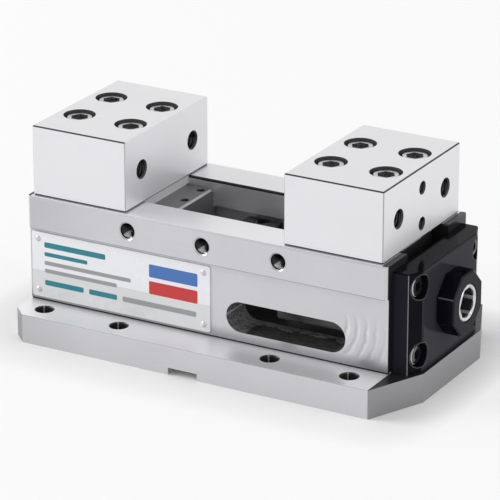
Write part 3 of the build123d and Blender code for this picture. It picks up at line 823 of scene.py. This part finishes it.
def finish_list() -> dict[str, bpy.types.Material]:
    """Build every finish once.

    Returns:
        Material slot name to material.
    """
    finishes = {
        "body_steel": BodySteel(
            name="ground_body_steel", colour=(0.6, 0.595, 0.62), lay=Lay.ALONG_X,
            roughness=0.34, line_scale=2500.0, metallic=0.6,
            patches=(
                Patch((0.91, 0.905, 0.93), BASE_TOP),
                Patch((0.82, 0.815, 0.84), RAIL_TOP),
                Patch((0.3, 0.3, 0.31), RAIL_EDGES),
                Patch((0.3, 0.298, 0.313), DRIVE_FLANGE_SIDES),
                Patch(PAINTED_RECESS_SHADE, CHANNEL_DEPTH),
                Patch(PAINTED_SHADE, CHANNEL_LIPS + FOOT_GROOVE + DRIVE_END_FACE),
                Patch(PAINTED_RECESS_SHADE, FLANGE_HOLES),
                Patch(PAINTED_SHADE, RAIL_HOLES),
                Patch((0.6, 0.6, 0.61), FLANGE_HOLE_GLINTS),
                Patch((0.95, 0.95, 0.96), WINDOW_GLINT),
            ),
        ),
        "jaw_steel": MachinedSteel(
            name="ground_jaw_steel", colour=(0.765, 0.76, 0.785), lay=Lay.ALONG_X,
            roughness=0.36, line_scale=3500.0, line_contrast=0.012, cloud_contrast=0.01,
            line_strength=0.04, metallic=0.3,
            patches=(
                Patch((0.35, 0.35, 0.36), JAW_GREY_EDGES),
                Patch((0.05, 0.05, 0.053), JAW_FOOT_EDGE),
                Patch(PAINTED_SHADE, JAW_DARK_EDGES + JAW_TAPPED),
                Patch(PAINTED_RECESS_SHADE, JAW_COUNTERBORES),
            ),
        ),
        "slider_steel": SliderSteel(
            name="milled_slider_steel", colour=(0.18, 0.176, 0.18), lay=Lay.ALONG_Y,
            roughness=0.45, line_scale=900.0, metallic=0.3,
            patches=(
                Patch((0.5, 0.5, 0.51), SLIDER_CHAMFER_HIGHLIGHTS),
                Patch(PAINTED_SHADE, CENTRE_BLOCK + SLIDER_OUTER_END),
            ),
        ),
        "spindle_steel": MachinedSteel(
            name="turned_spindle_steel", colour=(0.66, 0.66, 0.67), lay=Lay.ROUND_X,
            roughness=0.24, metallic=0.6,
            patches=(
                Patch((0.06, 0.06, 0.063), DRIVE_SOCKET),
                Patch((0.85, 0.85, 0.86), SOCKET_GLINT),
            ),
        ),
        "black_steel": BlackFinish(
            name="glossy_black_oxide", colour=(0.0045, 0.0045, 0.007), roughness=0.1,
            patches=(
                Patch((0.03, 0.029, 0.036), PLATE_FACE),
                Patch((0.018, 0.018, 0.023), HUB_END),
                Patch((0.0155, 0.0142, 0.021), PLATE_SIDES),
                Patch((0.2, 0.2, 0.21), PLATE_EDGE_HIGHLIGHT),
                Patch((0.1, 0.1, 0.105), HUB_EDGE_HIGHLIGHT),
                Patch((0.07, 0.07, 0.075), PLATE_SCREW_RIM_HIGHLIGHTS),
            ),
        ),
        "black_screw": BlackFinish(
            name="satin_black_oxide", colour=(0.012, 0.012, 0.014), roughness=0.14,
            gloss=0.7,
            patches=(Patch((0.5, 0.5, 0.51), PLATE_HEAD_RIM_HIGHLIGHTS),),
        ),
        "bright_screw": MachinedSteel(
            name="plated_screw_steel", colour=(0.55, 0.55, 0.56), roughness=0.25,
            line_scale=600.0,
            patches=(Patch(PAINTED_SHADE, JAW_SOCKETS),),
        ),
        "bronze": MachinedSteel(
            name="turned_bronze", colour=(0.55, 0.36, 0.16), lay=Lay.ROUND_X
        ),
        "name_plate": Enamel(
            name="white_plate_enamel", colour=(0.8, 0.81, 0.83), roughness=0.25,
            patches=(Patch((0.66, 0.67, 0.67), NAME_PLATE_LOWER_HALF),),
        ),
        "rivet": MachinedSteel(
            name="bright_rivet", colour=(0.6, 0.6, 0.62), roughness=0.4, line_scale=500.0,
            metallic=0.5,
        ),
        # Painted shade: the tapped threads in the jaws and sliders are near black.
        "thread": MachinedSteel(
            name="tapped_steel_painted_shade", colour=(0.04, 0.04, 0.04), line_scale=500.0
        ),
        # Painted light and shade: bright rail threads, with painted shade at the mouth and the
        # upper side.
        "rail_thread": RailThreadSteel(
            name="tapped_steel_painted_light_and_shade", colour=(0.85, 0.85, 0.87), roughness=0.15,
            line_scale=500.0, line_strength=0.03,
        ),
    }
    return {slot: finish.build() for slot, finish in finishes.items()}


def mesh_from_grid(name: str, points: np.ndarray, closed_rows: bool = False) -> bpy.types.Object:
    """Quad surface through a grid of points whose columns close on themselves.

    Args:
        name: Name of the new object.
        points: Array of shape (rows, columns, 3) in metres.
        closed_rows: True if the last row joins the first.

    Returns:
        The new object, at the origin. Without closed_rows, the two end rows are capped.
    """
    rows, columns, _ = points.shape
    index = np.arange(rows * columns).reshape(rows, columns)
    upper = np.roll(index, -1, axis=0) if closed_rows else index[1:]
    lower = index if closed_rows else index[:-1]
    corners = [lower, upper, np.roll(upper, -1, axis=1), np.roll(lower, -1, axis=1)]
    faces = np.stack(corners, axis=-1).reshape(-1, 4).tolist()
    if not closed_rows:
        faces.append(index[0].tolist())
        faces.append(index[-1][::-1].tolist())
    mesh = bpy.data.meshes.new(name)
    mesh.from_pydata(points.reshape(-1, 3).tolist(), [], faces)
    mesh.polygons.foreach_set("use_smooth", np.ones(len(mesh.polygons), dtype=bool))
    mesh.update()
    piece = bpy.data.objects.new(name, mesh)
    bpy.context.scene.collection.objects.link(piece)
    return piece


def joined(parts: list[bpy.types.Object], name: str) -> bpy.types.Object:
    """Join closed shells into the first one, rename it and turn its faces outwards.

    Args:
        parts: Mesh objects at the origin.
        name: New name.

    Returns:
        The joined object.
    """
    with bpy.context.temp_override(
        active_object=parts[0], selected_objects=parts, selected_editable_objects=parts
    ):
        bpy.ops.object.join()
    parts[0].name = name
    parts[0].data.name = name
    shell = bmesh.new()
    shell.from_mesh(parts[0].data)
    bmesh.ops.recalc_face_normals(shell, faces=shell.faces)
    shell.to_mesh(parts[0].data)
    shell.free()
    return parts[0]


def smooth_by_angle(piece: bpy.types.Object, degrees: float) -> None:
    """Mark edges sharper than an angle as sharp, so that smooth shading stops there."""
    piece.data.set_sharp_from_angle(angle=math.radians(degrees))


def hexagon_radius(angle: np.ndarray, across_flats: float) -> np.ndarray:
    """Distance from the centre to a hexagon.

    It is half the distance of the flats over the cosine of the angle to the nearest flat.

    Args:
        angle: Angles in radians, 0 at a corner.
        across_flats: Distance between opposite flats.

    Returns:
        Radius at each angle.
    """
    sector = np.pi / 3
    to_flat = np.mod(angle, sector) - sector / 2
    return across_flats / 2 / np.cos(to_flat)


@dataclass
class Piece:
    mesh_object: bpy.types.Object
    body: str
    slot: str
    material: bpy.types.Material

    def settle(self) -> None:
        """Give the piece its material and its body."""
        self.mesh_object.data.materials.append(self.material)
        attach(self.mesh_object, self.body)
        LOG.info("piece %s rides on %s", self.mesh_object.name, self.body)


@dataclass
class Spindle:
    """Drive spindle with opposed trapezoidal threads and a hex socket in its end."""

    axis_height: float = 51.7 * MM
    journal_radius: float = 12.0 * MM
    thread_radius: float = 14.0 * MM
    thread_depth: float = 2.2 * MM
    thread_start: float = 12.05 * MM
    thread_end: float = 118.0 * MM
    flank_slope: float = 1.15
    collar_radius: float = 17.0 * MM
    collar_half_width: float = 4.0 * MM
    lead: float = 4.0 * MM
    end_x: float = 152.0 * MM
    end_chamfer: float = 1.2 * MM
    thread_chamfer: float = 2.0 * MM
    socket_across_flats: float = 17.0 * MM
    socket_depth: float = 18.0 * MM
    columns: int = 72
    steps_per_turn: int = 12
    smooth_angle: float = 35.0

    def thread_height(self, phase: np.ndarray) -> np.ndarray:
        """Trapezoidal thread profile, 0 at the root and 1 at the crest.

        Args:
            phase: Turns along the thread.

        Returns:
            Share of the thread's depth, a triangle wave clipped flat at both ends.
        """
        wave = 1 - 4 * np.abs(np.mod(phase, 1.0) - 0.5)
        return np.clip(0.5 + wave * self.flank_slope, 0.0, 1.0)

    def thread_rows(self, side: Side, angle: np.ndarray) -> tuple[np.ndarray, np.ndarray]:
        """Rows of one threaded length, from its start to its outer end.

        Args:
            side: Half of the vise, which gives the hand of the thread.
            angle: Angles of the columns.

        Returns:
            X of each row, and radius of each point. The crest's phase grows by one turn per lead.
        """
        length = self.thread_end - self.thread_start
        count = int(length / self.lead * self.steps_per_turn)
        along = np.linspace(0.0, length, count)
        phase = along[:, None] / self.lead - side.value * angle[None, :] / (2 * np.pi)
        radius = self.thread_radius - self.thread_depth * (1 - self.thread_height(phase))
        edge = np.minimum(along, length - along)
        limit = self.thread_radius - np.clip(self.thread_chamfer - edge, 0.0, None)
        radius = np.minimum(radius, limit[:, None])
        return side.value * (self.thread_start + along), radius

    def build(self, material: bpy.types.Material) -> None:
        """Build the whole spindle as one surface of rings along X.

        Args:
            material: Finish of the spindle.
        """
        angle = np.linspace(0.0, 2 * np.pi, self.columns, endpoint=False)
        around = np.ones_like(angle)
        left_x, left_radius = self.thread_rows(Side.IDLE, angle)
        right_x, right_radius = self.thread_rows(Side.DRIVE, angle)
        shoulder = self.journal_radius * around
        collar = self.collar_radius * around
        flat = hexagon_radius(angle, self.socket_across_flats)
        mouth = np.minimum(flat + self.end_chamfer, self.journal_radius - self.end_chamfer)
        middle = [
            (-self.thread_start, shoulder),
            (-self.collar_half_width, shoulder),
            (-self.collar_half_width, collar),
            (self.collar_half_width, collar),
            (self.collar_half_width, shoulder),
            (self.thread_start, shoulder),
        ]
        drive_end = [
            (self.thread_end, shoulder),
            (self.end_x - self.end_chamfer, shoulder),
            (self.end_x, shoulder - self.end_chamfer),
            (self.end_x, mouth),
            (self.end_x - self.end_chamfer, flat),
            (self.end_x - self.socket_depth, flat),
        ]
        middle_x, middle_radius = zip(*middle)
        end_x, end_radius = zip(*drive_end)
        x = np.concatenate([left_x[::-1], middle_x, right_x, end_x])
        radius = np.vstack([left_radius[::-1], middle_radius, right_radius, end_radius])
        across = radius * np.cos(angle)
        height = self.axis_height + radius * np.sin(angle)
        points = np.stack([np.broadcast_to(x[:, None], radius.shape), across, height], axis=-1)
        piece = mesh_from_grid("spindle_with_threads", points)
        smooth_by_angle(piece, self.smooth_angle)
        Piece(piece, "spindle", "spindle_steel", material).settle()
        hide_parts("spindle")


@dataclass(frozen=True)
class ThreadSize:
    """Size of a tapped thread, and how far below its mouth it starts and ends, in millimetres."""

    radius: float
    pitch: float
    start: float
    end: float


@dataclass(frozen=True)
class TappedHole:
    """Thread in a tapped hole, as a sleeve between the hole's wall and the thread's crests."""

    mouth: Point
    outward: Point
    size: ThreadSize
    depth_share: float = 0.54
    inner_gap: float = 0.01 * MM
    wall_lap: float = 0.03 * MM
    columns: int = 40
    steps_per_turn: int = 8

    def points(self) -> np.ndarray:
        """Closed sleeve: the inner wall follows the thread and the outer wall is the drilled hole.

        The inner wall's radius falls by the thread's depth times a triangle wave, which fades out
        over one pitch at both ends.

        Returns:
            Array of shape (rows, columns, 3) in metres. Its last row joins its first.
        """
        wall, pitch = self.size.radius * MM, self.size.pitch * MM
        start, end = self.size.start * MM, self.size.end * MM
        angle = np.linspace(0.0, 2 * np.pi, self.columns, endpoint=False)
        count = int((end - start) / pitch * self.steps_per_turn)
        down = np.linspace(start, end, count)
        phase = down[:, None] / pitch - angle[None, :] / (2 * np.pi)
        wave = np.abs(2 * np.mod(phase, 1.0) - 1)
        fade = np.clip(np.minimum(down - start, end - down) / pitch, 0.0, 1.0)
        relief = self.depth_share * pitch * (1 - wave) * fade[:, None]
        outer = np.full((2, self.columns), wall + self.wall_lap)
        radius = np.vstack([wall - relief - self.inner_gap, outer])
        below = np.concatenate([down, [end, start]])
        axis = np.array(self.outward)
        across = np.array([1.0, 0.0, 0.0] if axis[2] else [0.0, 0.0, 1.0])
        other = np.cross(axis, across)
        ring = np.cos(angle)[:, None] * across + np.sin(angle)[:, None] * other
        return np.array(self.mouth) + radius[..., None] * ring - below[:, None, None] * axis


@dataclass
class Threads:
    """Threads of all tapped holes that a person can see."""

    rail_half_width: float = 53.0 * MM
    rail_pitch: float = RAIL_HOLE_PITCH * MM
    rail_height: float = RAIL_HOLE_HEIGHT * MM
    rail_size: ThreadSize = ThreadSize(radius=5.0, pitch=1.5, start=1.0, end=15.5)
    jaw_inner_x: float = 54.5 * MM
    jaw_length: float = 66.0 * MM
    fixture_height: float = 109.15 * MM
    fixture_half_pitch: float = 30.6 * MM
    fixture_size: ThreadSize = ThreadSize(radius=5.25, pitch=1.75, start=1.1, end=19.5)
    stop_height: float = 107.55 * MM
    stop_half_pitch: float = 11.3 * MM
    stop_size: ThreadSize = ThreadSize(radius=3.5, pitch=1.25, start=0.9, end=14.5)
    slider_inner_x: float = 37.0 * MM
    slider_top: float = 81.7 * MM
    guard_inset: float = 5.5 * MM
    guard_pitch: float = 20.0 * MM
    guard_size: ThreadSize = ThreadSize(radius=2.7, pitch=1.0, start=0.5, end=9.5)

    def rail_holes(self) -> list[TappedHole]:
        """Holes in the sides of both rails."""
        y, z, size = self.rail_half_width, self.rail_height, self.rail_size
        return [
            TappedHole((x, side * y, z), (0.0, side, 0.0), size)
            for x in (-self.rail_pitch, 0.0, self.rail_pitch)
            for side in (-1.0, 1.0)
        ]

    def jaw_holes(self, side: Side) -> list[TappedHole]:
        """Fixture holes in both ends of one jaw, and stop holes in its outer end.

        Args:
            side: Which jaw.

        Returns:
            Its holes.
        """
        sign = float(side.value)
        outer = self.jaw_inner_x + self.jaw_length
        ends = ((sign * self.jaw_inner_x, -sign), (sign * outer, sign))
        places = [
            ((x, y, self.fixture_height), facing, self.fixture_size)
            for x, facing in ends
            for y in (-self.fixture_half_pitch, self.fixture_half_pitch)
        ] + [
            ((sign * outer, 0.0, self.stop_height + rise), sign, self.stop_size)
            for rise in (-self.stop_half_pitch, self.stop_half_pitch)
        ]
        return [TappedHole(mouth, (facing, 0.0, 0.0), size) for mouth, facing, size in places]

    def guard_holes(self, side: Side) -> list[TappedHole]:
        """Small holes on the top of one slider."""
        x = side.value * (self.slider_inner_x + self.guard_inset)
        return [
            TappedHole((x, y, self.slider_top), (0.0, 0.0, 1.0), self.guard_size)
            for y in (-self.guard_pitch, 0.0, self.guard_pitch)
        ]

    def build(self, finishes: dict[str, bpy.types.Material]) -> None:
        """Build one piece for each group of holes that moves together.

        Args:
            finishes: Material slot name to material.
        """
        bright, dark = finishes["rail_thread"], finishes["thread"]
        groups = [("rail_hole_threads", self.rail_holes(), "vise", "body_steel", bright)]
        for side, prefix in ((Side.IDLE, "left"), (Side.DRIVE, "right")):
            jaw_name, guard_name = f"{prefix}_jaw_hole_threads", f"{prefix}_guard_hole_threads"
            body = f"{prefix}_carriage"
            groups.append((jaw_name, self.jaw_holes(side), body, "jaw_steel", dark))
            groups.append((guard_name, self.guard_holes(side), body, "slider_steel", dark))
        for name, holes, body, slot, finish in groups:
            sleeves = [
                mesh_from_grid(f"{name}_{i}", hole.points(), True) for i, hole in enumerate(holes)
            ]
            Piece(joined(sleeves, name), body, slot, finish).settle()


@dataclass(frozen=True)
class Bar:
    """One rounded bar of colour, in millimetres from the name plate's lower left corner."""

    ink: str
    left: float
    low: float
    width: float
    height: float
    corner: float = 0.8


@dataclass
class NamePlatePrint:
    """Generic bars printed on the name plate."""

    plate_left: float = -122.0 * MM
    plate_low: float = 21.0 * MM
    front_y: float = -50.8 * MM
    film: float = 0.04 * MM
    corner_points: int = 6
    smooth_angle: float = 30.0
    ink_roughness: float = 0.35
    inks: tuple[tuple[str, Colour], ...] = (
        ("teal_ink", (0.01, 0.2, 0.25)),
        ("red_ink", (0.55, 0.03, 0.03)),
        ("blue_ink", (0.05, 0.16, 0.45)),
        ("grey_ink", (0.3, 0.31, 0.33)),
    )
    bars: tuple[Bar, ...] = (
        Bar("teal_ink", 9.0, 8.2, 28.0, 3.4),
        Bar("teal_ink", 41.0, 8.2, 20.0, 3.4),
        Bar("grey_ink", 65.0, 8.2, 52.0, 3.4),
        Bar("teal_ink", 9.0, 33.0, 44.0, 3.6),
        Bar("teal_ink", 9.0, 27.4, 31.0, 2.6),
        Bar("grey_ink", 9.0, 21.6, 62.0, 2.6),
        Bar("grey_ink", 9.0, 16.4, 52.0, 2.6),
        Bar("red_ink", 84.0, 17.0, 34.0, 8.4),
        Bar("blue_ink", 84.0, 28.0, 34.0, 8.4),
    )

    def outline(self, bar: Bar) -> np.ndarray:
        """Rounded rectangle, four quarter circles one after another.

        Args:
            bar: The bar.

        Returns:
            Points in X and Z, in metres.
        """
        quarter = np.linspace(0.0, np.pi / 2, self.corner_points)
        turns = np.concatenate([quarter + i * np.pi / 2 for i in range(4)])
        half_width = bar.width / 2 - bar.corner
        half_height = bar.height / 2 - bar.corner
        sign_x = np.repeat([1, -1, -1, 1], self.corner_points)
        sign_z = np.repeat([1, 1, -1, -1], self.corner_points)
        x = bar.left + bar.width / 2 + sign_x * half_width + bar.corner * np.cos(turns)
        z = bar.low + bar.height / 2 + sign_z * half_height + bar.corner * np.sin(turns)
        return np.stack([self.plate_left + x * MM, self.plate_low + z * MM], axis=-1)

    def build(self) -> None:
        """Build one piece for each ink, from bars as thick as the film."""
        for ink, colour in self.inks:
            parts = []
            for i, bar in enumerate(bar for bar in self.bars if bar.ink == ink):
                x, z = self.outline(bar).T
                rows = [
                    np.stack([x, np.full(len(x), y), z], axis=-1)
                    for y in (self.front_y, self.front_y - self.film)
                ]
                parts.append(mesh_from_grid(f"{ink}_{i}", np.array(rows)))
            piece = joined(parts, f"name_plate_{ink}")
            smooth_by_angle(piece, self.smooth_angle)
            material = Enamel(ink, colour, self.ink_roughness).build()
            Piece(piece, "vise", "name_plate", material).settle()


@dataclass(frozen=True)
class Softbox:
    """Square soft lamp, with its place and side length in metres and its power in watts."""

    name: str
    place: Point
    size: float
    watts: float

    def build(self, aim: Point) -> None:
        """Hang the lamp so that it points at a place.

        Args:
            aim: Where it points.
        """
        data = bpy.data.lights.new(self.name, "AREA")
        data.size = self.size
        data.energy = self.watts
        lamp = bpy.data.objects.new(self.name, data)
        lamp.location = self.place
        away = Vector(self.place) - Vector(aim)
        lamp.rotation_euler = away.to_track_quat("Z", "Y").to_euler()
        bpy.context.scene.collection.objects.link(lamp)


@dataclass
class Studio:
    """Pale floor, soft light and the camera."""

    camera_azimuth: float = 29.3054
    camera_elevation: float = 21.2344
    camera_place: Point = (0.961814, -1.706902, 0.817807)
    camera_reach: float = 100.0
    focal_pixels: float = 3430.29
    frame_pixels: float = 500.0
    sensor_width: float = 36.0
    sky_levels: Span = (1.0, 0.5)
    sky_bands: Span = (0.5, 0.75)
    floor_half_size: float = 30.0
    floor_colour: tuple[float, float, float, float] = (0.9, 0.9, 0.9, 1.0)
    floor_roughness: float = 0.9
    floor_gloss: float = 0.1
    floor_glow: float = 0.65
    base_half_size: Span = (0.13, 0.0765)
    glow_fade: float = 0.04
    lamp_aim: Point = (0.0, 0.0, 0.06)
    lamps: tuple[Softbox, ...] = (
        Softbox("key_softbox", (-3.4, -1.2, 1.8), size=2.0, watts=90.0),
        Softbox("fill_softbox", (3.0, 0.4, 1.3), size=1.6, watts=18.0),
    )

    def camera(self) -> None:
        """Camera at the photograph's place, looking along its fitted direction."""
        data = bpy.data.cameras.new("camera")
        data.sensor_width = self.sensor_width
        data.lens = self.focal_pixels / self.frame_pixels * self.sensor_width
        data.clip_end = self.camera_reach
        rig = bpy.data.objects.new("camera", data)
        rig.location = self.camera_place
        rig.rotation_euler = (
            math.radians(90.0 - self.camera_elevation), 0.0, math.radians(self.camera_azimuth)
        )
        bpy.context.scene.collection.objects.link(rig)
        bpy.context.scene.camera = rig

    def glow_share(self, shader: Shader) -> Socket:
        """Share of the floor's glow, for the camera and for reflections alone.

        It grows with the square of the distance from the base's outline, up to the fade.

        Args:
            shader: Shader that the nodes go in.

        Returns:
            Socket with the share.
        """
        paths = shader.node("ShaderNodeLightPath").outputs
        kinds = ("Is Camera Ray", "Is Glossy Ray", "Is Transmission Ray")
        seen = shader.chain("MAXIMUM", [paths[kind] for kind in kinds])
        gaps = [
            shader.maths("MAXIMUM", shader.maths("SUBTRACT", far, half_size), 0.0)
            for far, half_size in zip((shader.far_x, shader.far_y), self.base_half_size)
        ]
        ratio = shader.maths("DIVIDE", shader.squares(gaps), self.glow_fade**2)
        away = shader.maths("MINIMUM", ratio, 1.0)
        return shader.chain("MULTIPLY", (seen, away, self.floor_glow))

    def floor(self) -> None:
        """Large pale floor under the base.

        Away from the base it glows a little, so that it ends as white as the background and
        still keeps the vise's shadow.
        """
        half = self.floor_half_size
        corners = [(-half, -half, 0.0), (half, -half, 0.0), (half, half, 0.0), (-half, half, 0.0)]
        mesh = bpy.data.meshes.new("floor")
        mesh.from_pydata(corners, [], [[0, 1, 2, 3]])
        floor = bpy.data.objects.new("floor", mesh)
        bpy.context.scene.collection.objects.link(floor)
        shader = Shader("pale_floor")
        shader.coat({
            "Base Color": self.floor_colour,
            "Roughness": self.floor_roughness,
            "Specular IOR Level": self.floor_gloss,
        })
        glow = shader.filled(shader.node("ShaderNodeEmission"), {"Strength": 1.0}, "Emission")
        inputs = {"Fac": self.glow_share(shader), 1: shader.surface.outputs["BSDF"], 2: glow}
        mix = shader.filled(shader.node("ShaderNodeMixShader"), inputs, "Shader")
        shader.join(mix, shader.output.inputs["Surface"])
        mesh.materials.append(shader.material)

    def world(self) -> None:
        """Sky that is white round the horizon and darker overhead, by the direction's height."""
        world = bpy.data.worlds.new("studio")
        world.use_nodes = True
        bpy.context.scene.world = world
        tree = world.node_tree
        place = tree.nodes.new("ShaderNodeTexCoord")
        parts = tree.nodes.new("ShaderNodeSeparateXYZ")
        ramp = tree.nodes.new("ShaderNodeValToRGB")
        for stop, height, level in zip(ramp.color_ramp.elements, self.sky_bands, self.sky_levels):
            stop.position = height
            stop.color = (level, level, level, 1.0)
        tree.links.new(place.outputs["Generated"], parts.inputs["Vector"])
        tree.links.new(parts.outputs["Z"], ramp.inputs["Fac"])
        tree.links.new(ramp.outputs["Color"], tree.nodes["Background"].inputs["Color"])

    def build(self) -> None:
        """Set up everything round the vise."""
        self.floor()
        self.world()
        for lamp in self.lamps:
            lamp.build(self.lamp_aim)
        self.camera()
        bpy.context.scene.view_settings.view_transform = "Standard"


def dress_frame(finishes: dict[str, bpy.types.Material]) -> None:
    """Give every node of the frame the finish of its slot.

    Args:
        finishes: Material slot name to material.
    """
    for entry in frame["record"]["subparts"]:
        node = frame["nodes"][entry["node"]]
        material = finishes[entry["material_slot"]]
        node.data.materials.clear()
        node.data.materials.append(material)
        LOG.info("node %s is %s", entry["node"], material.name)


def main() -> None:
    """Build the looks in order."""
    logging.basicConfig(level=logging.INFO, format="%(message)s")
    finishes = finish_list()
    dress_frame(finishes)
    Spindle().build(finishes["spindle_steel"])
    Threads().build(finishes)
    NamePlatePrint().build()
    Studio().build()


if __name__ == "__main__":
    main()
